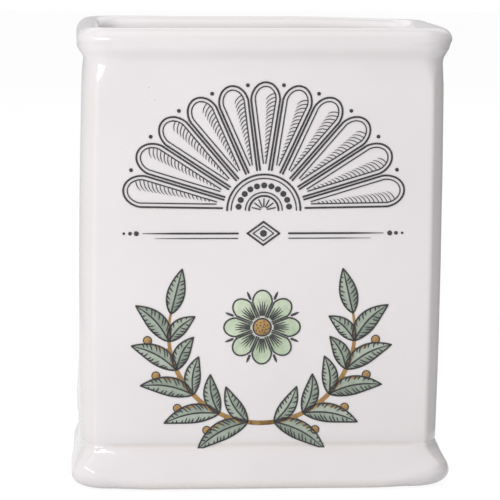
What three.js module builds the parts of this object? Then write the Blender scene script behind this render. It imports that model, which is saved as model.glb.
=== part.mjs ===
// An open ceramic canister in the form of an oil tin, in millimetres, +Z up.
// The origin is on the table under the middle of the vessel, and the decorated front faces -Y.
// The slip-cast vessel is one section, drawn as (distance outside the wall, height), that is swept
// round a rounded rectangle. Four felt pads under the corners of its foot ring carry it.

import * as THREE from "three";

// Plain wall
const WALL_TO_WALL_X = 116;
const WALL_TO_WALL_Y = 72;
const HEIGHT = 150; // table to the crest of the rim
const CORNER_RADIUS = 9; // outside of the wall, seen from above
const WALL = 5.4;
const FLOOR = 6;
const FLOOR_FILLET = 4; // between the floor and the inside of the wall

// Rolled rim: a round bead as thick as the wall and its overhang together, on a flank that sweeps in
const RIM_OUT = 2.3; // how far the bead stands out of the wall
const RIM_FACE = 1; // upright stretch between the bead's widest line and the flank
const RIM_FLANK = 7.2; // height of the flank

// Flared plinth: a straight skirt that runs into a round bottom edge
const PLINTH_OUT = 3.7; // how far the skirt stands out of the wall
const PLINTH_HEIGHT = 14; // foot to the groove over the skirt
const PLINTH_EDGE = 4.4; // radius of the round bottom edge
const PLINTH_GROOVE = 0.9; // how far the groove is rounded along the wall and along the skirt

// Underside: a flat foot ring round a shallow recess
const FOOT_RING = 11;
const RECESS_DEPTH = 1.6;
const RECESS_CORNER = 8;

// Felt pads
const PAD_DIAMETER = 8;
const PAD_THICKNESS = 0.8;
const PAD_EDGE = 0.25; // rounding of the rim that meets the table

// Facets
const CORNER_STEPS = 8; // in each corner, seen from above
const ARC_STEPS = 6; // in each half of a round stretch of the section
const PAD_SIDES = 28;
const LEAST_CORNER = 0.4; // an inner corner stays this round, however thick the wall

// Places that several stretches of the section share
const foot = PAD_THICKNESS;
const footEdge = PLINTH_OUT - PLINTH_EDGE;
const recessEdge = footEdge - FOOT_RING;
const recessCeiling = foot + RECESS_DEPTH;
const floorTop = recessCeiling + FLOOR;
const bead = (WALL + RIM_OUT) / 2;
const edgeCentre = new THREE.Vector2(footEdge, foot + PLINTH_EDGE);
const beadCentre = new THREE.Vector2(RIM_OUT - bead, HEIGHT - bead);
const groove = new THREE.Vector2(0, foot + PLINTH_HEIGHT);
const flankTop = beadCentre.y - RIM_FACE;
const flankFoot = flankTop - RIM_FLANK;

// The angle on a circle where the straight line from a point outside touches it, clockwise of the point.
function touchAngle(centre, radius, point) {
  const away = point.clone().sub(centre);
  return away.angle() - Math.acos(radius / away.length());
}

function onCircle(centre, radius, angle) {
  return new THREE.Vector2(Math.cos(angle), Math.sin(angle)).multiplyScalar(radius).add(centre);
}

// The point at a distance from one point on the way to another.
function towards(from, to, distance) {
  return to.clone().sub(from).setLength(distance).add(from);
}

// The step from the recess down to the foot ring, as a soft ogee.
function recessSection() {
  const middle = recessEdge - RECESS_DEPTH / 2;
  return new THREE.Path()
    .moveTo(recessEdge - RECESS_DEPTH, recessCeiling)
    .bezierCurveTo(middle, recessCeiling, middle, foot, recessEdge, foot);
}

// From the foot up the outside, over the rim and down the inside to the floor.
function shellSection() {
  const skirtAngle = touchAngle(edgeCentre, PLINTH_EDGE, groove);
  const skirtFoot = onCircle(edgeCentre, PLINTH_EDGE, skirtAngle);
  const skirtTop = towards(groove, skirtFoot, PLINTH_GROOVE);
  const flankMiddle = (flankFoot + flankTop) / 2;
  const filletCentre = new THREE.Vector2(-WALL - FLOOR_FILLET, floorTop + FLOOR_FILLET);

  return new THREE.Path()
    .moveTo(footEdge, foot)
    .absarc(edgeCentre.x, edgeCentre.y, PLINTH_EDGE, -Math.PI / 2, skirtAngle, false)
    .lineTo(skirtTop.x, skirtTop.y)
    .quadraticCurveTo(groove.x, groove.y, groove.x, groove.y + PLINTH_GROOVE)
    .lineTo(0, flankFoot)
    .bezierCurveTo(0, flankMiddle, RIM_OUT, flankMiddle, RIM_OUT, flankTop)
    .lineTo(RIM_OUT, beadCentre.y)
    .absarc(beadCentre.x, beadCentre.y, bead, 0, Math.PI, false)
    .lineTo(-WALL, filletCentre.y)
    .absarc(filletCentre.x, filletCentre.y, FLOOR_FILLET, 0, -Math.PI / 2, true);
}

// The points of a section, without the ones that two neighbouring stretches both give.
function sectionPoints(section) {
  const closest = 1e-3;
  const points = section.getPoints(ARC_STEPS);
  return points.filter((point, i) => i === 0 || point.distanceTo(points[i - 1]) > closest);
}

// A rounded rectangle seen from above, anticlockwise, at a distance outside the wall.
function planRing(offset, cornerRadius, height) {
  const radius = Math.max(cornerRadius, LEAST_CORNER);
  const x = WALL_TO_WALL_X / 2 + offset - radius;
  const y = WALL_TO_WALL_Y / 2 + offset - radius;
  const centres = [[x, y], [-x, y], [-x, -y], [x, -y]];
  const ring = [];
  centres.forEach(([centreX, centreY], quarter) => {
    for (let step = 0; step <= CORNER_STEPS; step++) {
      const angle = ((quarter + step / CORNER_STEPS) * Math.PI) / 2;
      const across = centreX + radius * Math.cos(angle);
      const along = centreY + radius * Math.sin(angle);
      ring.push(new THREE.Vector3(across, along, height));
    }
  });
  return ring;
}

// A closed solid through rings of equally many points, with a flat cap on the first and the last.
function loft(rings) {
  const count = rings[0].length;
  const points = rings.flat();
  const faces = [];
  for (let ring = 0; ring + 1 < rings.length; ring++) {
    for (let i = 0; i < count; i++) {
      const low = ring * count + i;
      const lowNext = ring * count + ((i + 1) % count);
      faces.push(low, lowNext, lowNext + count, low, lowNext + count, low + count);
    }
  }
  const lastRing = (rings.length - 1) * count;
  const firstMiddle = points.push(new THREE.Vector3(0, 0, rings[0][0].z)) - 1;
  const lastMiddle = points.push(new THREE.Vector3(0, 0, rings.at(-1)[0].z)) - 1;
  for (let i = 0; i < count; i++) {
    const next = (i + 1) % count;
    faces.push(firstMiddle, next, i, lastMiddle, lastRing + i, lastRing + next);
  }
  const geometry = new THREE.BufferGeometry().setFromPoints(points);
  geometry.setIndex(faces);
  geometry.computeVertexNormals();
  return geometry;
}

function vesselGeometry() {
  const recess = sectionPoints(recessSection());
  const shell = sectionPoints(shellSection());
  return loft([
    ...recess.map(({ x, y }) => planRing(x, RECESS_CORNER + x - recessEdge, y)),
    ...shell.map(({ x, y }) => planRing(x, CORNER_RADIUS + x, y)),
  ]);
}

// Where a ring's corner is cut by its own diagonal, in the quarter with positive x and y.
function cornerPoint(offset, cornerRadius) {
  const cut = cornerRadius * (1 - Math.SQRT1_2);
  return new THREE.Vector2(WALL_TO_WALL_X / 2 + offset - cut, WALL_TO_WALL_Y / 2 + offset - cut);
}

// A felt disc that stands on the table, with its top against the foot ring.
function padGeometry() {
  const radius = PAD_DIAMETER / 2;
  const half = new THREE.Path()
    .moveTo(0, 0)
    .lineTo(radius - PAD_EDGE, 0)
    .absarc(radius - PAD_EDGE, PAD_EDGE, PAD_EDGE, -Math.PI / 2, 0, false)
    .lineTo(radius, PAD_THICKNESS)
    .lineTo(0, PAD_THICKNESS);
  return new THREE.LatheGeometry(half.getPoints(2), PAD_SIDES).rotateX(Math.PI / 2);
}

const glaze = new THREE.MeshStandardMaterial({ color: "#e9e5e6", roughness: 0.14, metalness: 0 });
const felt = new THREE.MeshStandardMaterial({ color: "#b7b0a4", roughness: 0.95, metalness: 0 });

const canister = new THREE.Group();

const vessel = new THREE.Mesh(vesselGeometry(), glaze);
vessel.name = "vessel";
canister.add(vessel);

// Each pad lies halfway between the recess and the round bottom edge, where the foot ring is widest.
const innerCorner = cornerPoint(recessEdge, RECESS_CORNER);
const outerCorner = cornerPoint(footEdge, CORNER_RADIUS + footEdge);
const padPlace = innerCorner.clone().add(outerCorner).divideScalar(2);
for (const [end, toEnd] of [["front", -1], ["back", 1]]) {
  for (const [side, toSide] of [["left", -1], ["right", 1]]) {
    const pad = new THREE.Mesh(padGeometry(), felt);
    pad.name = `foot_pad_${end}_${side}`;
    pad.position.set(toSide * padPlace.x, toEnd * padPlace.y, 0);
    canister.add(pad);
  }
}

export default canister;
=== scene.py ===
"""Looks of an open ceramic canister: glazed vessel, fired print, felt feet, studio light and camera.

Lengths are in metres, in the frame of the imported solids: +Z up, the printed front towards -Y.
The print is laid out on the front wall in (across, up), measured from the middle of the wall's foot line.
"""
import math

import bpy
import numpy as np
from mathutils import Matrix, Vector, noise


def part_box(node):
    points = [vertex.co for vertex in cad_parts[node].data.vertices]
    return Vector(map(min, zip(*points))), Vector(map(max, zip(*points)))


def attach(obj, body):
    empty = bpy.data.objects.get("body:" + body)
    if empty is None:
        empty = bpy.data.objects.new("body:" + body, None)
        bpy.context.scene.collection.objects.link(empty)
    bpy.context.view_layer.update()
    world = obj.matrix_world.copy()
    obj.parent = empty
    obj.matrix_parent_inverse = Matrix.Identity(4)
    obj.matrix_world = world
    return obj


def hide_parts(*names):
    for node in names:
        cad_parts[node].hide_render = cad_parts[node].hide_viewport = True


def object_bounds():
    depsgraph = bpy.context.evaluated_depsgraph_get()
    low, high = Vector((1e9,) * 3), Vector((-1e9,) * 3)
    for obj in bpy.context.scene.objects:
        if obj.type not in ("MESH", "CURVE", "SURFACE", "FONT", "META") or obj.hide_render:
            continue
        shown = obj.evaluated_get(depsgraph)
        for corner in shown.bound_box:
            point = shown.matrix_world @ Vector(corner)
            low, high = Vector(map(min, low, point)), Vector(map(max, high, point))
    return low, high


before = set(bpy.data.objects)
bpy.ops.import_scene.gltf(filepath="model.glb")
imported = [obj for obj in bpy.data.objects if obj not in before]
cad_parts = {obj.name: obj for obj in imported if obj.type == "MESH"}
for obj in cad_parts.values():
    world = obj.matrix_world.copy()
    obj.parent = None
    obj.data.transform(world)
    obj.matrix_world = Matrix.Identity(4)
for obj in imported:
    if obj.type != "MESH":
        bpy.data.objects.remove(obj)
cad_low, cad_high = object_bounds()
vessel_low, vessel_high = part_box("vessel")

MM = 0.001

# Vessel, in the sizes of the solids
WALL = 5.4 * MM
FLOOR = 6 * MM
FLOOR_FILLET = 4 * MM
CORNER_RADIUS = 9 * MM
INNER_CORNER = 8 * MM  # inside, where the slip builds up
RIM_OUT = 2.3 * MM
RIM_FACE = 1 * MM
RIM_FLANK = 7.2 * MM
PLINTH_OUT = 3.7 * MM
PLINTH_HEIGHT = 14 * MM
PLINTH_EDGE = 4.4 * MM  # radius of the bottom edge at the corners
RUN_EDGE = 2.3 * MM  # and along the straight sides
PLINTH_GROOVE = 1.1 * MM
GROOVE_DEPTH = 0.5 * MM
FOOT_RING = 11 * MM
RECESS_DEPTH = 1.6 * MM
RECESS_CORNER = 8 * MM
RECESS_EDGE = PLINTH_OUT - PLINTH_EDGE - FOOT_RING

FOOT = vessel_low.z
CREST = vessel_high.z
WALL_HALF_X = vessel_high.x - PLINTH_OUT
WALL_HALF_Y = vessel_high.y - PLINTH_OUT
FLANK_TOP = CREST - (WALL + RIM_OUT) / 2 - RIM_FACE
FLANK_FOOT = FLANK_TOP - RIM_FLANK
OUTSIDE = -0.8 * MM  # points of the section farther in than this are not on its outside
INSIDE = (0.4 * WALL, 0.9 * WALL)  # depths between which the crest turns into the inside
BARE_HEIGHT = 0.25 * MM  # up to which the foot ring is unglazed

# Marks of casting and firing on the vessel
SHOULDER = 0.35 * MM  # how far the wall rolls inwards under the flank of the rim
CORNER_SHOULDER = 0.45 * MM  # the same at the corners
CORNER_FLANK = 0.6 * MM  # how far the flank of the rim is drawn in at the corners
FLANK_LOW = (FLANK_FOOT, FLANK_TOP - 2 * MM)  # heights between which that sets in
FLANK_HIGH = (FLANK_TOP - 1 * MM, FLANK_TOP + 1 * MM)  # heights between which it ends
SHOULDER_HEIGHT = 6 * MM
FLARE_DROP = 0.5 * MM  # how far under the groove the flare of the plinth sets in at the corners
FLARE_RUN = 5 * MM  # along which the groove fades towards the corners
FOOT_RUN = 14 * MM  # along which the bottom edge grows rounder towards the corners
CORNER_GROWTH = 0.5  # how much rounder the corners of the rim and the plinth are, for their overhang
EDGE_TURN = math.radians(50.5)  # of a corner's tight bend, next to the front or the back
EDGE_TIGHT = 2.2 * MM  # radius of that bend
EDGE_WIDE = 16.5 * MM  # radius of the bend that leads on to the side
EDGE_NARROWING = 2.9  # how much that radius shrinks for the plinth's overhang
EDGE_LOW = (0, 8 * MM)  # heights between which the tight bends set in
EDGE_HIGH = (132 * MM, 141 * MM)  # heights between which they end
THIN_AND_SHADED_MIDDLE = 0.8  # of the thinned glaze and painted shade on a tight bend, as a share of its turn
THIN_AND_SHADED_SPREAD = 0.35  # of that place, in the same measure
POOL_AND_SHADE_LOSS = 0.7  # share of the pooled glaze and painted shade that is missing at the corners
LEAN = 1.28 * MM  # how far the rim stands to the right of the foot
BOW = -0.26 * MM  # how far the middle of the walls stands to the right
BELLY = 1 * MM  # how far the middle of the walls bulges
PLINTH_SHIFT = 0.42 * MM  # how far the plinth stands to the right of the wall
RIM_RISE = 0.18 * MM  # of the rim at its back left corner
RIM_SAG = 0.85 * MM  # of the rim at its back right corner
RIM_PINCH = 1.08 * MM  # how far the back left corner of the rim is drawn in
PLINTH_PINCH = 2.4 * MM  # the same for the plinth
FOOT_SPREAD = 1.4 * MM  # how far the foot of the wall spreads at that corner
WAVE = 0.2 * MM  # height of the slow waves in the walls
WAVE_LENGTH = 55 * MM
RIPPLE = 0.05 * MM  # height of the quicker waves
RIPPLE_LENGTH = 13 * MM
WAVE_START = Vector((3.1, 7.7, 1.3))  # places in the noise that the waves are taken from
RIPPLE_START = Vector((8.3, 1.9, 4.7))

# Heights between which those marks set in or end, from 0 at the foot to 1 at the crest
WAVES_SHARE = (0.0, 0.12)
PLINTH_SHARE = (0.05, 0.11)
SPREAD_SHARE = (0.11, 0.26)
RIM_SHARE = (0.8, 1)
PINCH_SHARE = (0.88, 1)

# Facets of the vessel
CORNER_STEPS = 16
RUN_STEP = 2.6 * MM  # along the straight sides
WALL_STEP = 3.5 * MM  # up the wall
RIM_STEP = WALL_STEP / 8
ARC_STEPS = 14
RECESS_STEPS = 6
RING_STEPS = 6
SKIRT_STEPS = 12
CAP_RINGS = 5

# Print
PRINT_LIFT = 0.05 * MM  # of a colour over the glaze
LINE_LIFT = 0.08 * MM  # of a line over the glaze
PRINT_SINK = 0.04 * MM  # of either into the glaze
TWIG_LIFT = 0.7 * PRINT_LIFT  # twigs lie under the leaves
EYE_LIFT = 1.2 * PRINT_LIFT  # the rosette's eye lies over its petals
PRESS_RUN = 0.35  # share of a line's length along which it swells or thins
LEAST_CAP = 0.03 * MM  # a line that ends finer than this has no round end
CAP_STEPS = 6
INK = 0.5  # tone of a line


# Curves in the plane

def arc(centre, radius, start, end, steps=ARC_STEPS):
    angles = np.linspace(start, end, steps + 1)
    return np.asarray(centre) + radius * np.column_stack([np.cos(angles), np.sin(angles)])


def straight(start, end, step):
    """A straight line with points about a step apart."""
    length = float(np.linalg.norm(np.subtract(end, start)))
    return evenly(start, end, max(1, round(length / step)))


def evenly(start, end, count):
    start, end = np.asarray(start, float), np.asarray(end, float)
    return start + (end - start) * np.linspace(0, 1, count + 1)[:, None]


def bend(start, corner, end, steps=ARC_STEPS):
    """A quadratic curve that rounds a corner."""
    t = np.linspace(0, 1, steps + 1)[:, None]
    start, corner, end = (np.asarray(p, float) for p in (start, corner, end))
    return start * (1 - t) ** 2 + corner * 2 * t * (1 - t) + end * t ** 2


def joined(*stretches):
    """Stretches of a curve end to end, without the points that two neighbours share."""
    points = np.vstack(stretches)
    closest = 1e-3 * MM
    apart = np.linalg.norm(np.diff(points, axis=0), axis=1) > closest
    return points[np.concatenate([[True], apart])]


def touch_angle(centre, radius, point):
    """The angle on a circle where the line from a point outside touches it, clockwise of the point."""
    away = np.asarray(point) - np.asarray(centre)
    return math.atan2(away[1], away[0]) - math.acos(radius / float(np.linalg.norm(away)))


def ogee(start, end, steps=2 * ARC_STEPS):
    """A curve that leaves its start and reaches its end upright, and sweeps sideways between them."""
    t = np.linspace(0, 1, steps + 1)
    across = start[0] + (end[0] - start[0]) * (3 * t ** 2 - 2 * t ** 3)
    up = start[1] + (end[1] - start[1]) * (1.5 * t - 1.5 * t ** 2 + t ** 3)
    return np.column_stack([across, up])


def ease(value, low, high):
    """0 below low, 1 above high, and smooth between them."""
    t = np.clip((np.asarray(value, float) - low) / (high - low), 0, 1)
    return t * t * (3 - 2 * t)


# Vessel

def recess_section():
    """From the recess under the floor down to the foot ring, as (distance outside the wall, height)."""
    ceiling = FOOT + RECESS_DEPTH
    middle = (RECESS_EDGE - RECESS_DEPTH / 2, (FOOT + ceiling) / 2)
    top = bend((RECESS_EDGE - RECESS_DEPTH, ceiling), (middle[0], ceiling), middle, RECESS_STEPS)
    return joined(top, bend(middle, (middle[0], FOOT), (RECESS_EDGE, FOOT), RECESS_STEPS))


def shell_section(edge):
    """From the foot up the outside, over the rim and down to the floor, in the same measures.

    edge is the radius of the bottom edge. There are as many points for any radius.
    """
    edge_centre = np.array([PLINTH_OUT - edge, FOOT + edge])
    groove = np.array([0, FOOT + PLINTH_HEIGHT])
    skirt_angle = touch_angle(edge_centre, edge, groove)
    round_edge = arc(edge_centre, edge, -math.pi / 2, skirt_angle)
    along_skirt = round_edge[-1] - groove
    skirt_top = groove + along_skirt / np.linalg.norm(along_skirt) * PLINTH_GROOVE

    bead = (WALL + RIM_OUT) / 2
    bead_centre = np.array([RIM_OUT - bead, CREST - bead])
    wall = straight((0, groove[1] + PLINTH_GROOVE), (0, FLANK_FOOT), WALL_STEP)
    wall[:, 0] -= SHOULDER * ease(wall[:, 1], FLANK_FOOT - SHOULDER_HEIGHT, FLANK_FOOT)

    floor_top = FOOT + RECESS_DEPTH + FLOOR
    fillet_centre = (-WALL - FLOOR_FILLET, floor_top + FLOOR_FILLET)
    return joined(
        evenly((RECESS_EDGE, FOOT), round_edge[0], RING_STEPS),
        round_edge,
        evenly(round_edge[-1], skirt_top, SKIRT_STEPS),
        bend(skirt_top, groove - (GROOVE_DEPTH, 0), wall[0]),
        wall,
        ogee(wall[-1], (RIM_OUT, FLANK_TOP)),
        straight((RIM_OUT, FLANK_TOP), (RIM_OUT, bead_centre[1]), RIM_STEP),
        arc(bead_centre, bead, 0, math.pi, 2 * ARC_STEPS),
        straight((-WALL, bead_centre[1]), (-WALL, fillet_centre[1]), WALL_STEP),
        arc(fillet_centre, FLOOR_FILLET, 0, -math.pi / 2),
    )


def at_corners(shell):
    """The same points where the vessel turns: a smooth flare without a groove, and a drawn-in flank."""
    shell = shell.copy()
    heights = shell[:, 1]
    outside = shell[:, 0] > OUTSIDE
    flare_foot = FOOT + PLINTH_EDGE
    flare_top = FOOT + PLINTH_HEIGHT - FLARE_DROP
    flared = outside & (heights > flare_foot) & (heights < flare_top)
    flare = PLINTH_OUT * (1 - ease(heights, flare_foot, flare_top))
    shell[flared, 0] = flare[flared]
    shoulder_foot = FLANK_FOOT - SHOULDER_HEIGHT
    rolled = ease(heights, shoulder_foot, FLANK_FOOT) * (1 - ease(heights, FLANK_FOOT, FLANK_TOP))
    shell[outside, 0] -= (CORNER_SHOULDER - SHOULDER) * rolled[outside]
    drawn_in = ease(heights, *FLANK_LOW) * (1 - ease(heights, *FLANK_HIGH))
    shell[outside, 0] -= CORNER_FLANK * drawn_in[outside]
    return shell


def shell_corner(offset):
    """The radius of the shell's corners seen from above, at a distance outside the wall."""
    return max(CORNER_RADIUS + CORNER_GROWTH * offset, INNER_CORNER)


def corner(quarter, offset, radius, crisp):
    """A corner seen from above, anticlockwise. crisp runs from 0, round, to 1, a tight and a wide bend."""
    turn = np.linspace(0, math.pi / 2, CORNER_STEPS + 1)[::-1 if quarter in (0, 2) else 1]
    facing = np.column_stack([np.sin(turn), np.cos(turn)])
    faces = np.array([WALL_HALF_X, WALL_HALF_Y]) + offset
    tight_facing = np.array([math.sin(EDGE_TURN), math.cos(EDGE_TURN)])
    wide = EDGE_WIDE - EDGE_NARROWING * max(offset, 0)
    wide_middle = faces - (wide, EDGE_TIGHT + (wide - EDGE_TIGHT) * tight_facing[1])
    tight_middle = wide_middle + (wide - EDGE_TIGHT) * tight_facing
    tight = (turn <= EDGE_TURN)[:, None]
    bends = np.where(tight, tight_middle + EDGE_TIGHT * facing, wide_middle + wide * facing)
    points = (faces - radius + radius * facing) * (1 - crisp) + bends * crisp
    return points * (1 if quarter in (0, 3) else -1, 1 if quarter < 2 else -1)


RUNS = [round(2 * (half - CORNER_RADIUS) / RUN_STEP) for half in (WALL_HALF_X, WALL_HALF_Y)]


def plan_ring(offset, radius, crisp=0.0):
    """A rounded rectangle seen from above, anticlockwise, at a distance outside the wall."""
    corners = [corner(quarter, offset, radius, crisp) for quarter in range(4)]
    ring = []
    for quarter, points in enumerate(corners):
        ring.append(points)
        following = corners[(quarter + 1) % 4][0]
        ring.append(evenly(points[-1], following, RUNS[quarter % 2])[1:-1])
    return np.vstack(ring)


def tight_bends():
    """1 at the points of a ring on the tight bends of its corners, and 0 away from them: where the glaze
    thins and shade is painted.
    """
    turn = np.linspace(0, math.pi / 2, CORNER_STEPS + 1)
    bell = np.exp(-((turn / EDGE_TURN - THIN_AND_SHADED_MIDDLE) / THIN_AND_SHADED_SPREAD) ** 2)
    ring = []
    for quarter in range(4):
        ring.append(bell[::-1 if quarter in (0, 2) else 1])
        ring.append(np.zeros(RUNS[quarter % 2] - 1))
    return np.concatenate(ring)


def waves(points, length, start):
    """Smooth noise at each point, with waves of about the given length."""
    return np.array([noise.noise(Vector(point) / length + start) for point in points])


def settle(points):
    """Points of the true vessel after casting and firing, which leave it a little uneven.

    right and back run from -1 to 1 between the plain walls.
    """
    points = np.array(points, float)
    share = (points[:, 2] - FOOT) / (CREST - FOOT)
    right, back = points[:, 0] / WALL_HALF_X, points[:, 1] / WALL_HALF_Y
    middle = 1 - (2 * share - 1) ** 2
    never_zero = 1e-9
    out = points[:, :2] / np.linalg.norm(points[:, :2] + never_zero, axis=1)[:, None]
    slow = waves(points, WAVE_LENGTH, WAVE_START)
    quick = waves(points, RIPPLE_LENGTH, RIPPLE_START)
    swell = (WAVE * slow + RIPPLE * quick) * ease(share, *WAVES_SHARE) + BELLY * middle
    top, plinth = ease(share, *RIM_SHARE), 1 - ease(share, *PLINTH_SHARE)
    back_left = ease(-right, 0.2, 0.9) * ease(back, -0.5, 0.9)
    back_right = ease(right, 0.2, 1) * ease(back, -1, 1)
    pinch = ease(-right, 0.7, 1) * ease(back, 0.5, 1) * ease(share, *PINCH_SHARE)
    inward = np.array([0.8, -0.6])
    points[:, :2] += out * swell[:, None] + RIM_PINCH * pinch[:, None] * inward
    at_left = ease(-right, 0.7, 1) * ease(back, -0.2, 1)
    spread = FOOT_SPREAD * at_left * (1 - ease(share, *SPREAD_SHARE))
    points[:, 0] += LEAN * (share - 0.5) + BOW * middle - spread
    points[:, 0] += (PLINTH_SHIFT + PLINTH_PINCH * at_left) * plinth
    points[:, 2] += (RIM_RISE * back_left - RIM_SAG * back_right) * top
    return points


def turning(section):
    """How fast a section turns at each point: over 0 where it is hollow, under 0 where it is round."""
    along = np.diff(section, axis=0)
    heading = np.unwrap(np.arctan2(along[:, 1], along[:, 0]))
    length = np.linalg.norm(along, axis=1)
    shortest = 1e-3 * MM
    rate = np.diff(heading) / np.maximum(0.5 * (length[1:] + length[:-1]), shortest)
    return np.concatenate([[0], -rate, [0]])


def mesh_piece(name, points, faces, materials, smooth=True):
    mesh = bpy.data.meshes.new(name)
    mesh.from_pydata([tuple(p) for p in points], [], faces)
    mesh.validate()
    for material in materials:
        mesh.materials.append(material)
    mesh.polygons.foreach_set("use_smooth", [smooth] * len(mesh.polygons))
    piece = bpy.data.objects.new(name, mesh)
    bpy.context.scene.collection.objects.link(piece)
    return piece


def add_attribute(piece, name, values):
    attribute = piece.data.attributes.new(name, "FLOAT", "POINT")
    attribute.data.foreach_set("value", np.asarray(values, np.float32))


def level_ring(plan, height):
    """A ring seen from above, as points at one height."""
    return np.column_stack([plan, np.full(len(plan), height)])


def near_corners():
    """For each point of a ring 1 at a corner and 0 away from it: for the flare and for the bottom edge."""
    straight_half = np.array([WALL_HALF_X, WALL_HALF_Y]) - CORNER_RADIUS
    run = (straight_half - abs(plan_ring(0, CORNER_RADIUS))).max(axis=1)
    return [(1 - ease(run, 0, length))[:, None] for length in (FLARE_RUN, FOOT_RUN)]


def edge_crispness(across, height):
    """1 where the outside has its crisp edges, and 0 at the foot, at the rim and inside."""
    upright = ease(height, *EDGE_LOW) * (1 - ease(height, *EDGE_HIGH))
    return float(upright * ease(across, -WALL, -WALL / 2))


def share_inside(across, height):
    """1 on the inside of the shell, and 0 on its outside and under it."""
    return float(ease(-across, *INSIDE)) if height > FOOT + RECESS_DEPTH else 0.0


def tube_faces(layers, count):
    """Faces through layers of equally many points, closed at either end round one of two last points."""
    low_middle = layers * count
    high_middle = low_middle + 1
    last = (layers - 1) * count
    faces = []
    for i in range(count):
        following = (i + 1) % count
        faces.append((low_middle, following, i))
        faces.append((high_middle, last + i, last + following))
        for low in range(0, last, count):
            faces.append((low + i, low + following, low + count + following, low + count + i))
    return faces


def make_vessel(glaze, clay):
    """The vessel, with attributes for where its glaze pools (painted shade too), thins, thins on tight
    bends (painted shade too) and turns inwards (painted light).
    """
    recess = recess_section()[:-1]
    shell = shell_section(RUN_EDGE)
    footed_shell = shell_section(PLINTH_EDGE)
    turned_shell = at_corners(footed_shell)
    turn, footed = near_corners()
    shares = ((1 - turn) * (1 - footed), (1 - turn) * footed, turn)

    layers = []
    for across, height in recess:
        layers.append(level_ring(plan_ring(across, RECESS_CORNER + across - RECESS_EDGE), height))
    crispness = [0.0] * len(layers)
    inside = [0.0] * len(layers)
    for places in zip(shell, footed_shell, turned_shell):
        crisp = edge_crispness(*places[0])
        plans = [plan_ring(offset, shell_corner(offset), crisp) for offset, _ in places]
        rings = [level_ring(plan, level) for plan, (_, level) in zip(plans, places)]
        layers.append(sum(ring * share for ring, share in zip(rings, shares)))
        crispness.append(crisp)
        inside.append(share_inside(*places[0]))

    shrink = np.linspace(1, 0, CAP_RINGS + 1)[1:-1]
    under = [layers[0] * (k, k, 1) for k in shrink[::-1]]
    over = [layers[-1] * (k, k, 1) for k in shrink]
    layers = under + layers + over
    ends = [(0, 0, layers[0][0, 2]), (0, 0, layers[-1][0, 2])]
    points = np.vstack(layers + [ends])
    count = len(layers[0])

    def capped(values, over_value=0.0):
        """Values of the layers between the two caps, with those of the caps."""
        return np.concatenate([np.zeros(len(under)), values, np.full(len(over), over_value)])

    piece = mesh_piece("glazed_vessel", settle(points), tube_faces(len(layers), count), [glaze, clay])
    for polygon in piece.data.polygons:
        if max(points[v][2] for v in polygon.vertices) < FOOT + BARE_HEIGHT:
            polygon.material_index = 1
    hollow = capped(turning(np.vstack([recess, shell])))
    # pool_and_shade: glaze that pools in the hollows, and painted shade in the groove and the cove
    pool_and_shade = np.outer(np.clip(hollow * MM, 0, 1), 1 - POOL_AND_SHADE_LOSS * turn)
    thin = np.outer(np.clip(-hollow * MM, 0, 1), 1 - footed)
    # edge: thinned glaze, and painted shade that darkens the tight bends
    edge = np.outer(capped(crispness), tight_bends())
    add_attribute(piece, "pool_and_shade", np.append(pool_and_shade.ravel(), [0, 0]))
    add_attribute(piece, "thin", np.append(thin.ravel(), [0, 0]))
    add_attribute(piece, "edge", np.append(edge.ravel(), [0, 0]))
    # inside: where the glaze is painted lighter, as painted light
    add_attribute(piece, "inside", np.append(np.repeat(capped(inside, 1.0), count), [0, 1]))
    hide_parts("vessel")
    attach(piece, "root")


# Materials

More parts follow.
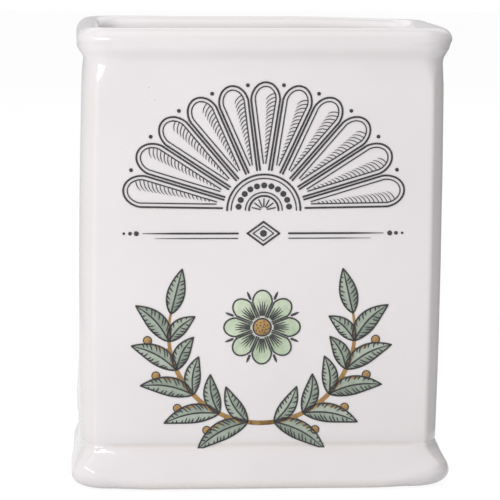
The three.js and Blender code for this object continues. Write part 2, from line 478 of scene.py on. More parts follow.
class Finish:
    """A procedural material, with short ways to add its nodes."""

    def __init__(self, name):
        self.material = bpy.data.materials.new(name)
        self.material.use_nodes = True
        self.tree = self.material.node_tree
        self.shader = self.tree.nodes["Principled BSDF"]
        self.place = self.add("ShaderNodeTexCoord").outputs["Object"]

    def add(self, kind, **settings):
        node = self.tree.nodes.new(kind)
        for name, value in settings.items():
            setattr(node, name, value)
        return node

    def link(self, source, target):
        self.tree.links.new(source, target)

    def attribute(self, name):
        return self.add("ShaderNodeAttribute", attribute_name=name).outputs["Fac"]

    def noise(self, size, detail=2.0, rough=0.5, place=None):
        """Noise with grains of about the given size."""
        node = self.add("ShaderNodeTexNoise")
        node.inputs["Scale"].default_value = 1 / size
        node.inputs["Detail"].default_value = detail
        node.inputs["Roughness"].default_value = rough
        self.link(place or self.place, node.inputs["Vector"])
        return node.outputs["Fac"]

    def stretched(self, scale):
        node = self.add("ShaderNodeMapping")
        node.inputs["Scale"].default_value = scale
        self.link(self.place, node.inputs["Vector"])
        return node.outputs["Vector"]

    def cells(self, size):
        """Distance to the nearest of points strewn about the given size apart."""
        node = self.add("ShaderNodeTexVoronoi")
        node.inputs["Scale"].default_value = 1 / size
        self.link(self.place, node.inputs["Vector"])
        return node.outputs["Distance"]

    def span(self, value, low, high, to_low=0.0, to_high=1.0):
        node = self.add("ShaderNodeMapRange", interpolation_type="SMOOTHSTEP")
        limits = {"From Min": low, "From Max": high, "To Min": to_low, "To Max": to_high}
        for name, number in limits.items():
            node.inputs[name].default_value = number
        self.link(value, node.inputs["Value"])
        return node.outputs["Result"]

    def math(self, operation, first, second):
        node = self.add("ShaderNodeMath", operation=operation)
        for socket, value in zip(node.inputs, (first, second)):
            if isinstance(value, float):
                socket.default_value = value
            else:
                self.link(value, socket)
        return node.outputs["Value"]

    def mix(self, share, first, second):
        """The first colour where the share is 0, the second where it is 1."""
        node = self.add("ShaderNodeMix", data_type="RGBA")
        self.link(share, node.inputs["Factor"])
        colours = [socket for socket in node.inputs if socket.type == "RGBA"]
        for socket, colour in zip(colours, (first, second)):
            if isinstance(colour, tuple):
                socket.default_value = (*colour, 1)
            else:
                self.link(colour, socket)
        return next(socket for socket in node.outputs if socket.type == "RGBA")

    def bump(self, height, depth, below=None):
        node = self.add("ShaderNodeBump")
        node.inputs["Distance"].default_value = depth
        self.link(height, node.inputs["Height"])
        if below:
            self.link(below, node.inputs["Normal"])
        return node.outputs["Normal"]

    def finish(self, colour, roughness, normal):
        self.link(colour, self.shader.inputs["Base Color"])
        self.link(roughness, self.shader.inputs["Roughness"])
        self.link(normal, self.shader.inputs["Normal"])
        return self.material


def glaze_relief(finish):
    """The slow swell and the orange peel that a poured glaze keeps."""
    swell = finish.bump(finish.noise(14 * MM, 1.0), 0.06 * MM)
    return finish.bump(finish.noise(1.6 * MM, 2.0), 0.004 * MM, swell)


def glaze_material():
    """White glaze: clouded, painted lighter inside as painted light, pooled and painted darker as shade in
    the groove, thinned on edges and painted darker as shade on tight bends, with a few specks.
    """
    finish = Finish("white_glaze")
    cloudy = finish.span(finish.noise(45 * MM, 3.0), 0.3, 0.7)
    body = finish.mix(cloudy, (0.84, 0.803, 0.812), (0.81, 0.775, 0.782))
    # painted light: the inside is painted lighter, standing in for light that its depth keeps out
    body = finish.mix(finish.attribute("inside"), body, (0.9, 0.865, 0.872))
    # painted shade, partly real pooled glaze: the groove and the cove are painted darker and warmer
    pooled = finish.span(finish.attribute("pool_and_shade"), 0.2, 0.85, 0.0, 0.75)
    body = finish.mix(pooled, body, (0.69, 0.62, 0.58))
    thinned = finish.span(finish.attribute("thin"), 0.15, 0.45, 0.0, 0.3)
    # painted shade, partly real thinned glaze: the tight bends are painted darker and warmer
    thinned_and_shaded_edge = finish.span(finish.attribute("edge"), 0.2, 1.0, 0.0, 0.25)
    body = finish.mix(finish.math("MAXIMUM", thinned, thinned_and_shaded_edge), body, (0.77, 0.695, 0.65))
    specks = finish.span(finish.cells(5 * MM), 0.02, 0.05, 1.0, 0.0)
    sparse = finish.span(finish.noise(11 * MM), 0.56, 0.6)
    body = finish.mix(finish.math("MULTIPLY", specks, sparse), body, (0.5, 0.43, 0.37))
    roughness = finish.span(finish.noise(6 * MM, 3.0), 0.25, 0.75, 0.07, 0.13)
    return finish.finish(body, roughness, glaze_relief(finish))


def clay_material():
    finish = Finish("bare_clay")
    grain = finish.noise(0.5 * MM, 4.0, 0.7)
    body = finish.mix(finish.span(grain, 0.3, 0.7), (0.6, 0.52, 0.43), (0.75, 0.68, 0.6))
    stained = finish.span(finish.noise(7 * MM), 0.5, 0.75, 0.0, 0.5)
    body = finish.mix(stained, body, (0.52, 0.43, 0.34))
    roughness = finish.span(grain, 0.2, 0.8, 0.75, 0.95)
    return finish.finish(body, roughness, finish.bump(grain, 0.06 * MM))


def felt_material():
    """Pressed felt, of fibres matted in two directions."""
    finish = Finish("pad_felt")
    matted = finish.noise(0.9 * MM, 5.0, 0.75, finish.stretched((1, 0.35, 2.2)))
    crossing = finish.noise(0.8 * MM, 5.0, 0.75, finish.stretched((0.35, 1, 2.2)))
    fibre = finish.math("MULTIPLY", matted, crossing)
    body = finish.mix(finish.span(fibre, 0.12, 0.4), (0.5, 0.47, 0.42), (0.74, 0.71, 0.66))
    roughness = finish.span(fibre, 0.1, 0.4, 0.98, 0.88)
    finish.shader.inputs["Sheen Weight"].default_value = 0.4
    return finish.finish(body, roughness, finish.bump(fibre, 0.18 * MM))


GLAZE_WHITE = (0.8, 0.77, 0.77)  # that shows through a worn print


def ink_material(name, pale, deep):
    """A fired ceramic colour. The attribute tone runs from its pale to its deep shade."""
    finish = Finish(name)
    tone = finish.attribute("tone")
    washed = finish.span(finish.noise(2.2 * MM, 4.0, 0.6), 0.3, 0.7, -0.16, 0.16)
    body = finish.mix(finish.math("ADD", tone, washed), pale, deep)
    grain = finish.span(finish.noise(0.16 * MM, 2.0), 0.35, 0.75, 0.0, 0.22)
    worn = tuple(0.6 * p + 0.4 * g for p, g in zip(pale, GLAZE_WHITE))
    body = finish.mix(grain, body, worn)
    roughness = finish.span(finish.noise(1.2 * MM, 3.0), 0.25, 0.75, 0.12, 0.2)
    return finish.finish(body, roughness, glaze_relief(finish))


# Print

class Print:
    """One colour of the print: flat patches on the front wall, in (across, up)."""

    def __init__(self, name):
        self.name = name
        self.points = []
        self.tones = []
        self.faces = []

    def grid(self, rows, tones):
        """A patch of rows of equally many points. tones has a value for each point."""
        rows = np.asarray(rows, float)
        tones = np.broadcast_to(np.asarray(tones, float), rows.shape[:2])
        first, across = len(self.points), rows.shape[1]
        self.points += rows.reshape(-1, 2).tolist()
        self.tones += tones.ravel().tolist()
        for i in range(rows.shape[0] - 1):
            for k in range(across - 1):
                at = first + i * across + k
                self.faces.append((at, at + 1, at + across + 1, at + across))

    def stroke(self, points, width, start=1.0, end=1.0):
        """A line of ink. start and end are the shares of its width at its ends."""
        points = np.asarray(points, float)
        along = np.gradient(points, axis=0)
        along /= np.linalg.norm(along, axis=1)[:, None]
        side = np.column_stack([-along[:, 1], along[:, 0]])
        t = np.linspace(0, 1, len(points))
        rising = start + (1 - start) * t / PRESS_RUN
        falling = end + (1 - end) * (1 - t) / PRESS_RUN
        half = (0.5 * width * np.minimum(1, np.minimum(rising, falling)))[:, None]
        self.grid(np.stack([points - side * half, points, points + side * half], axis=1), INK)
        self.cap(points[0], -along[0], 0.5 * width * start)
        self.cap(points[-1], along[-1], 0.5 * width * end)

    def cap(self, centre, outward, radius):
        """The round end of a line."""
        if radius < LEAST_CAP:
            return
        facing = math.atan2(outward[1], outward[0])
        rim = arc(centre, radius, facing - math.pi / 2, facing + math.pi / 2, CAP_STEPS)
        self.grid(np.stack([rim, np.repeat([centre], len(rim), axis=0)], axis=1), INK)

    def dot(self, centre, radius, pale=0.35, deep=0.75):
        """A round spot, shaded from its upper left to its lower right."""
        rings = [arc(centre, radius * share, 0, 2 * math.pi, 20) for share in (1e-3, 0.5, 1)]
        rows = np.stack(rings, axis=1)[::-1]
        shade = (rows - np.asarray(centre)) @ np.array([0.7, -0.7]) / radius
        self.grid(rows, pale + (deep - pale) * ease(shade, -0.8, 0.9))

    def lay(self, material, lift, slot):
        """Makes the colour as a thin solid on the settled wall."""
        flat = np.array(self.points)
        wall = np.column_stack([flat[:, 0], np.full(len(flat), -WALL_HALF_Y), FOOT + flat[:, 1]])
        points = settle(wall)
        points[:, 1] -= lift
        piece = mesh_piece(self.name, points, self.faces, [material], smooth=False)
        add_attribute(piece, "tone", self.tones)
        thick = piece.modifiers.new("thickness", "SOLIDIFY")
        thick.thickness = lift + PRINT_SINK
        thick.offset = -1
        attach(piece, "root")


def turned(points, origin, angle):
    """Points drawn along the x axis, turned by an angle and moved to an origin."""
    c, s = math.cos(angle), math.sin(angle)
    return np.asarray(points) @ np.array([[c, s], [-s, c]]) + np.asarray(origin)


def mirrored(points):
    """A half outline and its mirror image across the x axis, as one line round the tip."""
    points = np.asarray(points)
    return np.vstack([points, (points * (1, -1))[::-1][1:]])


# Fan of petals over a half-round boss
FAN_FOOT = np.array([0.0, 91 * MM])
FAN_REACH = np.array([45 * MM, 41 * MM])  # to the side and upwards
FAN_SPREAD = math.radians(162)
FAN_PETALS = 11
FAN_STEP = FAN_SPREAD / (FAN_PETALS - 1)  # from one petal to the next
FAN_START = 13 * MM
FAN_GAP = 0.95 * MM
FAN_INSET = 1.3 * MM  # from a petal's outline to its inner line
FAN_LINE = 0.62 * MM
FAN_INLINE = 0.4 * MM
FAN_HATCH = 0.28 * MM
FAN_HATCH_GAP = 1.3 * MM
FAN_SPOT = 0.62 * MM  # radius of the spots between the tips of the petals
FAN_SPOT_REACH = 0.985  # their place, as a share of the fan's reach
PETAL_TIP = 0.8  # half the width of a petal over the length of its round tip
PETAL_STEP = 1.2 * MM
PETAL_TIP_STEPS = 15
HATCH_STEPS = 5
BOSS = 11.5 * MM
BOSS_LINES = ((1.0, FAN_LINE), (0.89, FAN_INLINE), (0.5, FAN_INLINE), (0.4, FAN_LINE))  # share, width
BOSS_BEADS = 11
BOSS_BEAD = 0.95 * MM
BOSS_BEAD_REACH = 0.695
BOSS_BEAMS = 7
BOSS_BEAM = (0.1, 0.32)  # shares of the boss between which its beams run
BOSS_STEPS = 48
BEAM_STEP = 0.7 * MM


def ray(angle):
    return np.array([math.cos(angle), math.sin(angle)])


def fan_reach(angle):
    """How far the outline of the fan, which is an ellipse, lies from its foot."""
    return 1 / float(np.linalg.norm(ray(angle) / FAN_REACH))


def petal_half(start, reach, half_angle, gap):
    """Half the outline of a petal along the x axis, which fills a sector up to a gap."""
    slope = math.tan(half_angle)
    tip = (reach * slope - gap) / (PETAL_TIP + slope)
    wide = reach - tip
    side = straight((start, start * slope - gap), (wide, wide * slope - gap), PETAL_STEP)
    angles = np.linspace(math.pi / 2, 0, PETAL_TIP_STEPS + 1)
    cap = np.column_stack([wide + tip * np.cos(angles), side[-1, 1] * np.sin(angles)])
    return joined(side, cap)


def draw_petal(line, turn, reach):
    """A petal of the fan with an inner line, and hatching on its shaded side."""
    outline = petal_half(FAN_START, reach, FAN_STEP / 2, FAN_GAP / 2)
    line.stroke(turned(mirrored(outline), FAN_FOOT, turn), FAN_LINE)
    inner_start = FAN_START + 1.6 * FAN_INSET
    inner = petal_half(inner_start, reach - FAN_INSET, FAN_STEP / 2, FAN_GAP / 2 + FAN_INSET)
    line.stroke(turned(mirrored(inner), FAN_FOOT, turn), FAN_INLINE)
    for out in np.arange(FAN_START + 3.5 * FAN_INSET, reach - 2.4 * FAN_INSET, FAN_HATCH_GAP):
        half = float(np.interp(out, inner[:, 0], inner[:, 1]))
        start = (out - 0.5 * half, -0.06 * half)
        end = (out + 0.15 * half, -0.95 * half)
        hatch = bend(start, (out, -0.3 * half), end, HATCH_STEPS)
        line.stroke(turned(hatch, FAN_FOOT, turn), FAN_HATCH, start=0.35)


def draw_fan(line, bead):
    """Petals with a spot between each two tips, round a boss with beads and beams."""
    for i in range(FAN_PETALS):
        turn = math.pi / 2 + FAN_SPREAD / 2 - i * FAN_STEP
        draw_petal(line, turn, fan_reach(turn))
        if i < FAN_PETALS - 1:
            between = turn - FAN_STEP / 2
            bead.dot(FAN_FOOT + FAN_SPOT_REACH * fan_reach(between) * ray(between), FAN_SPOT)
    for share, width in BOSS_LINES:
        line.stroke(arc(FAN_FOOT, BOSS * share, 0, math.pi, BOSS_STEPS), width)
    for i in range(BOSS_BEADS):
        beam = ray(math.pi * (i + 0.5) / BOSS_BEADS)
        bead.dot(FAN_FOOT + BOSS_BEAD_REACH * BOSS * beam, BOSS_BEAD)
    for i in range(BOSS_BEAMS):
        beam = ray(math.pi * (i + 0.5) / BOSS_BEAMS)
        near, far = (FAN_FOOT + share * BOSS * beam for share in BOSS_BEAM)
        line.stroke(straight(near, far, BEAM_STEP), FAN_INLINE)


# Rule with a lozenge
RULE_MIDDLE = np.array([0.0, 83.5 * MM])
RULE_REACH = 38 * MM
RULE_GAP = 8 * MM
RULE_LINE = 0.62 * MM
RULE_UNDER = np.array([0, -1.6 * MM])  # from a rule to the thin one under it
RULE_THIN = 0.32 * MM
RULE_SHORTER = 4 * MM  # by which the thin one ends before the other
RULE_STEP = 2 * MM
RULE_SPOTS = (0.8 * MM, 0.6 * MM, 0.42 * MM)
RULE_SPOT_GAP = 2 * MM
LOZENGES = ((5 * MM, 0.62 * MM), (3.2 * MM, 0.36 * MM))  # half length, width of the line
LOZENGE_TIPS = np.array([(1, 0), (0, 0.75), (-1, 0), (0, -0.75), (1, 0)])
LOZENGE_STEP = 0.8 * MM
LOZENGE_SPOT = 1.1 * MM


def draw_rule(line, bead):
    """A thin double rule on either side of a lozenge, with spots that grow smaller."""
    for sign in (-1, 1):
        near = RULE_MIDDLE + (sign * RULE_GAP, 0)
        far = RULE_MIDDLE + (sign * RULE_REACH, 0)
        line.stroke(straight(near, far, RULE_STEP), RULE_LINE, end=0.3)
        thin_end = far + RULE_UNDER - (sign * RULE_SHORTER, 0)
        line.stroke(straight(near + RULE_UNDER, thin_end, RULE_STEP), RULE_THIN, end=0.3)
        for i, radius in enumerate(RULE_SPOTS):
            bead.dot(far + (sign * (i + 1) * RULE_SPOT_GAP, 0), radius)
    for size, width in LOZENGES:
        tips = RULE_MIDDLE + size * LOZENGE_TIPS
        for start, end in zip(tips[:-1], tips[1:]):
            line.stroke(straight(start, end, LOZENGE_STEP), width)
    bead.dot(RULE_MIDDLE, LOZENGE_SPOT)


# Wreath of two sprigs
WREATH_MIDDLE = np.array([0.0, 51 * MM])
WREATH_RADIUS = 29.5 * MM
WREATH_START = math.radians(-98)
WREATH_END = math.radians(14)
WREATH_PAIRS = 5
WREATH_TILT = math.radians(38)
LEAF_LENGTH = 18.5 * MM
LEAF_WIDTH = 6 * MM
INNER_TILT = math.radians(50)
INNER_LENGTH = 13.5 * MM
INNER_WIDTH = 4.9 * MM
LEAF_LINE = 0.52 * MM
HATCH_LINE = 0.42 * MM
HATCH_GAP = 1.3 * MM
LEAF_STEPS = 32
TWIG = 1.5 * MM
TWIG_STEPS = 89
END_LENGTH = 0.8 * LEAF_LENGTH  # of the leaf at the end of a sprig
END_WIDTH = 0.9 * LEAF_WIDTH
SPRIG_FIRST = 0.15  # place of the first pair of leaves, as a share of the sprig
SPRIG_SPAN = 0.69  # from the first pair to the last
BERRY = 1.3 * MM
BERRY_LINE = 0.34 * MM
BERRY_PLACE = 0.125  # of its stalk after a pair of leaves
BERRY_AHEAD = 4 * MM
BERRY_OUT = 6.6 * MM
STALK = 0.55 * MM
STALK_OUT = 3.5 * MM  # before it bends
STALK_STEPS = 8
ROUND_STEPS = 24


def draw_leaf(colour, line, origin, angle, length, width, sag, tone):
    """A pointed leaf with a light and a dark half, an outline, a midrib and hatching from its edges."""
    t = np.linspace(0, 1, LEAF_STEPS + 1)
    rib = np.column_stack([length * t, sag * np.sin(math.pi * t)])
    half = 0.5 * width * np.sin(math.pi * t ** 0.82) ** 0.9
    along = np.gradient(rib, axis=0)
    along /= np.linalg.norm(along, axis=1)[:, None]
    side = np.column_stack([-along[:, 1], along[:, 0]])
    for sign, darker in ((1, 0.0), (-1, 0.3)):
        shares = np.linspace(0, 1, 5)[::-sign]
        rows = np.stack([rib + sign * side * (half * s)[:, None] for s in shares], axis=1)
        tones = tone + darker + 0.22 * (1 - t)[:, None] + 0.2 * shares[None, :]
        colour.grid(turned(rows.reshape(-1, 2), origin, angle).reshape(rows.shape), tones)
        line.stroke(turned(rib + sign * side * half[:, None], origin, angle), LEAF_LINE)
        count = round(length / HATCH_GAP)
        for i in range(1, count - 1):
            where = round((i + 0.25 * sign) / count * LEAF_STEPS)
            reach = (0.72 if sign < 0 else 0.5) + 0.12 * math.sin(2.3 * i)
            edge = rib[where] + sign * side[where] * half[where]
            tip = edge - (sign * side[where] + along[where] * 0.8) * reach * half[where]
            middle = 0.5 * (edge + tip) - along[where] * half[where] * 0.12
            line.stroke(turned(bend(edge, middle, tip, HATCH_STEPS), origin, angle), HATCH_LINE, end=0.2)
    line.stroke(turned(rib, origin, angle), LEAF_LINE, end=0.4)


def draw_sprig(colour, line, twig, berry, sign):
    """A leafy sprig that rises from under the middle to one side."""
    bearings = np.linspace(WREATH_START, WREATH_END, TWIG_STEPS + 1)
    stem = WREATH_MIDDLE + WREATH_RADIUS * np.column_stack([np.cos(bearings), np.sin(bearings)])
    stem[:, 0] *= sign
    twig.stroke(stem, TWIG, end=0.5)

    def place(share):
        at = min(int(share * TWIG_STEPS), TWIG_STEPS - 1)
        ahead = stem[at + 1] - stem[at]
        return stem[at], ahead / np.linalg.norm(ahead)

    for i in range(WREATH_PAIRS):
        share = SPRIG_FIRST + SPRIG_SPAN * i / (WREATH_PAIRS - 1)
        foot, ahead = place(share)
        heading = math.atan2(ahead[1], ahead[0])
        for outer in (1, -1):
            turn = -sign * outer * (WREATH_TILT if outer > 0 else INNER_TILT)
            length = (LEAF_LENGTH if outer > 0 else INNER_LENGTH) * (1.03 - 0.22 * share)
            width = LEAF_WIDTH if outer > 0 else INNER_WIDTH
            sag = sign * outer * 0.08 * length
            tone = 0.1 + 0.09 * ((2 * i + outer + 1) % 4)
            draw_leaf(colour, line, foot, heading + turn, length, width, sag, tone)
        if i < WREATH_PAIRS - 1:
            foot, ahead = place(share + BERRY_PLACE)
            outward = sign * np.array([ahead[1], -ahead[0]])
            middle = foot + ahead * BERRY_AHEAD + outward * BERRY_OUT
            twig.stroke(bend(foot, foot + outward * STALK_OUT, middle, STALK_STEPS), STALK)
            berry.dot(middle, BERRY, pale=0.05, deep=0.8)
            line.stroke(arc(middle, BERRY, 0, 2 * math.pi, ROUND_STEPS), BERRY_LINE)
    foot, ahead = place(1.0)
    heading = math.atan2(ahead[1], ahead[0])
    draw_leaf(colour, line, foot, heading, END_LENGTH, END_WIDTH, sag=0.0, tone=0.15)


# Rosette inside the wreath
ROSETTE_MIDDLE = np.array([0.0, 53 * MM])
ROSETTE_RADIUS = 12 * MM
ROSETTE_START = 3.4 * MM
ROSETTE_PETALS = 8
ROSETTE_GAP = 0.35 * MM  # from a petal to the middle of the gap beside it
FOLDS = 2  # on either side of a petal's middle fold
FOLD_START = ROSETTE_START + 0.5 * MM
FOLD_SPREAD = np.array([0.32, 0.55, 0.85]) * MM  # between folds, at their start, middle and end
FOLD_STEPS = 6
SEPAL = (0.84, 1.04)  # shares of the rosette's radius between which its sepals lie
SEPAL_WIDTH = 0.75 * MM
SEPAL_STEP = 0.5 * MM
EYE = 2.8 * MM
EYE_SPOTS = 14
EYE_SPOT = 0.24 * MM
EYE_STEPS = 40
GOLDEN_ANGLE = 2.39996  # sets the spots as seeds stand in a flower


def draw_rosette(colour, line, eye):
    """Petals round a stippled eye, with small sepals between them."""
    half = petal_half(ROSETTE_START, ROSETTE_RADIUS, math.pi / ROSETTE_PETALS, ROSETTE_GAP)
    shares = np.linspace(-1, 1, 9)
    rows = np.stack([half * (1, share) for share in shares], axis=1)
    inward = 1 - (half[:, 0] - ROSETTE_START) / (ROSETTE_RADIUS - ROSETTE_START)
    for i in range(ROSETTE_PETALS):
        turn = math.pi / 2 + 2 * math.pi * i / ROSETTE_PETALS
        lit = 0.26 + 0.18 * math.cos(turn + math.pi / 4)
        tones = lit + 0.42 * inward[:, None] - 0.16 * shares[None, :]
        colour.grid(turned(rows.reshape(-1, 2), ROSETTE_MIDDLE, turn).reshape(rows.shape), tones)
        line.stroke(turned(mirrored(half), ROSETTE_MIDDLE, turn), LEAF_LINE)
        for k in range(-FOLDS, FOLDS + 1):
            reach = FOLD_START + (4.6 - 0.55 * abs(k) + 0.5 * (k % 2)) * MM
            along = (FOLD_START, 0.5 * (FOLD_START + reach), reach)
            fold = bend(*zip(along, k * FOLD_SPREAD), FOLD_STEPS)
            line.stroke(turned(fold, ROSETTE_MIDDLE, turn), HATCH_LINE, end=0.25)
        gap = ray(turn + math.pi / ROSETTE_PETALS)
        near, far = (ROSETTE_MIDDLE + share * ROSETTE_RADIUS * gap for share in SEPAL)
        line.stroke(straight(near, far, SEPAL_STEP), SEPAL_WIDTH, end=0.25)
    eye.dot(ROSETTE_MIDDLE, EYE, pale=0.1, deep=0.7)
    line.stroke(arc(ROSETTE_MIDDLE, EYE, 0, 2 * math.pi, EYE_STEPS), LEAF_LINE)
    for i in range(EYE_SPOTS):
        out = 0.8 * EYE * math.sqrt((i + 0.5) / EYE_SPOTS)
        line.dot(ROSETTE_MIDDLE + out * ray(GOLDEN_ANGLE * i), EYE_SPOT)


def make_print():
    """Draws the whole print, one colour of each motif at a time, and lays it on the wall."""
    fan, rule = Print("print_fan"), Print("print_rule")
    beads = Print("print_beads")
    draw_fan(fan, beads)
    draw_rule(rule, beads)
    leaves, leaf_lines = Print("print_leaves"), Print("print_leaf_lines")
    twigs, berries = Print("print_twigs"), Print("print_berries")
    for sign in (-1, 1):
        draw_sprig(leaves, leaf_lines, twigs, berries, sign)
    petals, petal_lines = Print("print_petals"), Print("print_petal_lines")
    eye = Print("print_eye")
    draw_rosette(petals, petal_lines, eye)

    charcoal = ink_material("print_charcoal", (0.035, 0.033, 0.037), (0.013, 0.013, 0.016))
    sage = ink_material("print_sage", (0.52, 0.58, 0.49), (0.17, 0.24, 0.175))
    pale_green = ink_material("print_pale_green", (0.66, 0.74, 0.57), (0.3, 0.42, 0.26))
    ochre = ink_material("print_ochre", (0.52, 0.3, 0.07), (0.19, 0.09, 0.025))
    fan.lay(charcoal, LINE_LIFT, "print_line")
    rule.lay(charcoal, LINE_LIFT, "print_line")
    beads.lay(charcoal, LINE_LIFT, "print_line")
    twigs.lay(ochre, TWIG_LIFT, "print_twig")
    leaves.lay(sage, PRINT_LIFT, "print_leaf")
    leaf_lines.lay(charcoal, LINE_LIFT, "print_line")
    berries.lay(ochre, PRINT_LIFT, "print_twig")
    petals.lay(pale_green, PRINT_LIFT, "print_leaf")
    petal_lines.lay(charcoal, LINE_LIFT, "print_line")
    eye.lay(ochre, EYE_LIFT, "print_twig")


# Felt pads
PAD_SIDES = 72
PAD_EDGE = 0.3 * MM  # rounding of the rim that meets the table
PAD_MIDDLE = 0.15  # share of a pad's radius that its middle faces take up
FUZZ = 0.06 * MM  # how far fibres stand out of a pad's side
FUZZ_LENGTH = 0.7 * MM


def make_pad(node, felt):
    """A disc cut from pressed felt, with a soft uneven edge."""
    low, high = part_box(node)
    centre = (low + high) / 2
    radius = (high.x - low.x) / 2
    thick = high.z - low.z
    middle = PAD_MIDDLE * radius
    profile = joined(
        straight((middle, 0), (radius - PAD_EDGE, 0), radius / 8),
        arc((radius - PAD_EDGE, PAD_EDGE), PAD_EDGE, -math.pi / 2, 0, 5),
        straight((radius, PAD_EDGE), (radius, thick), thick / 6),
        straight((radius, thick), (middle, thick), radius / 8),
    )
    points = []
    for out, up in profile:
        rim = min(1.0, out / radius) ** 6
        for bearing in np.linspace(0, 2 * math.pi, PAD_SIDES, endpoint=False):
            spot = Vector((out * math.cos(bearing), out * math.sin(bearing), up))
            fuzzy = out + noise.noise((centre + spot) / FUZZ_LENGTH) * FUZZ * rim
            across, along = fuzzy * math.cos(bearing), fuzzy * math.sin(bearing)
            points.append((centre.x + across, centre.y + along, low.z + up))
    faces = []
    for i in range(PAD_SIDES):
        following = (i + 1) % PAD_SIDES
        for at in range(0, len(points) - PAD_SIDES, PAD_SIDES):
            faces.append((at + i, at + following, at + PAD_SIDES + following, at + PAD_SIDES + i))
    faces.append(tuple(reversed(range(PAD_SIDES))))
    faces.append(tuple(range(len(points) - PAD_SIDES, len(points))))
    piece = mesh_piece(node.replace("foot_pad", "felt_pad"), points, faces, [felt])
    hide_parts(node)
    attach(piece, "root")


# Camera, light and floor

CAMERA_AZIMUTH = math.radians(-3.63)
CAMERA_ELEVATION = math.radians(7.88)
CAMERA_ROLL = math.radians(0.3)
CAMERA_DISTANCE = 921 * MM
VIEW_WIDTH = 167.32 * MM  # of the picture, at the middle of the vessel
AIM_LEFT = 2.11 * MM  # of the vessel's middle
AIM_BELOW = 1.2 * MM
SENSOR = 36.0
LAMP_AIM = Vector((0, 0, 75 * MM))

# Lamps: azimuth and elevation in degrees, distance, width and height in metres, radiance
LAMPS = {
    "key": (-32.5, 20, 0.75, 0.7, 0.14, 8.9),
    "overhead": (-10, 75, 1.5, 1.4, 1.4, 1.25),
    "back": (180, 46, 1.2, 2.2, 0.8, 0.9),
    "fill": (50, 25, 1.0, 0.8, 0.5, 0.1),
}

FLOOR_REACH = 3.0
FLOOR_GREY = 0.85
FLOOR_GLOW = 1.1


def make_camera():
    back = Vector((math.sin(CAMERA_AZIMUTH) * math.cos(CAMERA_ELEVATION),
                   -math.cos(CAMERA_AZIMUTH) * math.cos(CAMERA_ELEVATION),
                   math.sin(CAMERA_ELEVATION)))
    level = Vector((math.cos(CAMERA_AZIMUTH), math.sin(CAMERA_AZIMUTH), 0))
    upright = back.cross(level)
    right = level * math.cos(CAMERA_ROLL) + upright * math.sin(CAMERA_ROLL)
    up = back.cross(right)
    aim = Vector((0, 0, (cad_low.z + cad_high.z) / 2)) - right * AIM_LEFT - up * AIM_BELOW
    data = bpy.data.cameras.new("camera")
    data.sensor_fit = "HORIZONTAL"
    data.sensor_width = SENSOR
    data.lens = SENSOR * CAMERA_DISTANCE / VIEW_WIDTH
    camera = bpy.data.objects.new("camera", data)
    turn = Matrix((right, up, back)).transposed().to_4x4()
    camera.matrix_world = Matrix.Translation(aim + back * CAMERA_DISTANCE) @ turn
    bpy.context.scene.collection.objects.link(camera)
    bpy.context.scene.camera = camera


def softbox(name, azimuth, elevation, distance, width, height, radiance):
    """A rectangular lamp that faces the vessel. Its power gives the stated radiance."""
    data = bpy.data.lights.new(name, "AREA")
    data.shape = "RECTANGLE"
    data.size = width
    data.size_y = height
    data.energy = radiance * width * height * math.pi
    lamp = bpy.data.objects.new(name, data)
    a, e = math.radians(azimuth), math.radians(elevation)
    away = Vector((math.sin(a) * math.cos(e), -math.cos(a) * math.cos(e), math.sin(e)))
    lamp.location = away * distance + LAMP_AIM
    lamp.rotation_euler = away.to_track_quat("Z", "Y").to_euler()
    bpy.context.scene.collection.objects.link(lamp)


def by_ray(tree, camera, mirror, otherwise):
    """One value for what the camera sees, one for what the glaze mirrors and one for all other light."""
    path = tree.nodes.new("ShaderNodeLightPath")
    total = None
    for name, value in (("Is Glossy Ray", mirror), ("Is Camera Ray", camera)):
        node = tree.nodes.new("ShaderNodeMath")
        node.operation = "MULTIPLY_ADD"
        tree.links.new(path.outputs[name], node.inputs[0])
        node.inputs[1].default_value = value - otherwise
        if total:
            tree.links.new(total, node.inputs[2])
        else:
            node.inputs[2].default_value = otherwise
        total = node.outputs["Value"]
    return total


def make_world():
    """White surroundings, less bright in the glaze and in the shade than to the camera."""
    world = bpy.data.worlds.new("studio")
    world.use_nodes = True
    tree = world.node_tree
    white = tree.nodes["Background"]
    white.inputs["Color"].default_value = (1, 1, 1, 1)
    strength = by_ray(tree, camera=1.0, mirror=0.6, otherwise=0.3)
    tree.links.new(strength, white.inputs["Strength"])
    bpy.context.scene.world = world


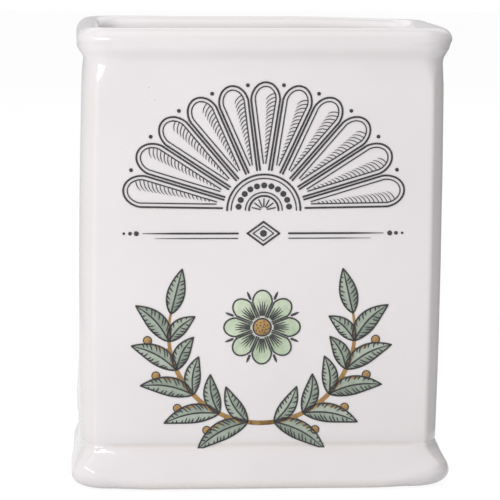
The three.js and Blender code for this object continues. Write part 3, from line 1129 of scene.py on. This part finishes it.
def make_floor():
    """A white floor. What the camera sees of it is mostly plain white, with the vessel's soft shadow."""
    corners = [(-1, -1), (1, -1), (1, 1), (-1, 1)]
    points = [(FLOOR_REACH * x, FLOOR_REACH * y, cad_low.z) for x, y in corners]
    material = bpy.data.materials.new("white_sweep")
    material.use_nodes = True
    tree = material.node_tree
    lit = tree.nodes["Principled BSDF"]
    lit.inputs["Base Color"].default_value = (FLOOR_GREY, FLOOR_GREY, FLOOR_GREY, 1)
    lit.inputs["Roughness"].default_value = 0.9
    plain = tree.nodes.new("ShaderNodeEmission")
    plain.inputs["Strength"].default_value = FLOOR_GLOW
    choose = tree.nodes.new("ShaderNodeMixShader")
    plain_share = by_ray(tree, camera=0.85, mirror=0.4, otherwise=0.0)
    tree.links.new(plain_share, choose.inputs["Fac"])
    tree.links.new(lit.outputs[0], choose.inputs[1])
    tree.links.new(plain.outputs[0], choose.inputs[2])
    tree.links.new(choose.outputs[0], tree.nodes["Material Output"].inputs["Surface"])
    mesh_piece("floor", points, [(0, 1, 2, 3)], [material])


def make_card(name, start, end, height, radiance, mirrored_only=False):
    """An upright card beside the vessel that the glaze mirrors, which gives its edges their tone.

    The camera doesn't see it. One that is mirrored only casts no light or shadow either.
    """
    points = [(*start, 0), (*end, 0), (*end, height), (*start, height)]
    material = bpy.data.materials.new(name)
    material.use_nodes = True
    tree = material.node_tree
    glow = tree.nodes.new("ShaderNodeEmission")
    glow.inputs["Strength"].default_value = radiance
    tree.links.new(glow.outputs[0], tree.nodes["Material Output"].inputs["Surface"])
    piece = mesh_piece(name, points, [(0, 1, 2, 3)], [material])
    piece.visible_camera = False
    piece.visible_diffuse = not mirrored_only
    piece.visible_shadow = not mirrored_only


make_camera()
make_world()
make_floor()
for lamp_name, lamp_values in LAMPS.items():
    softbox(lamp_name, *lamp_values)
make_card("card_right", (330 * MM, -140 * MM), (90 * MM, 340 * MM), 150 * MM, 0.3)
make_card("card_low", (118 * MM, -55 * MM), (68 * MM, 115 * MM), 34 * MM, 0.36, mirrored_only=True)
make_card("card_left", (-420 * MM, -20 * MM), (-130 * MM, 400 * MM), 400 * MM, 0.62)
make_vessel(glaze_material(), clay_material())
make_print()
felt_finish = felt_material()
for pad_node in sorted(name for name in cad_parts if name.startswith("foot_pad")):
    make_pad(pad_node, felt_finish)

bpy.context.scene.view_settings.view_transform = "Standard"
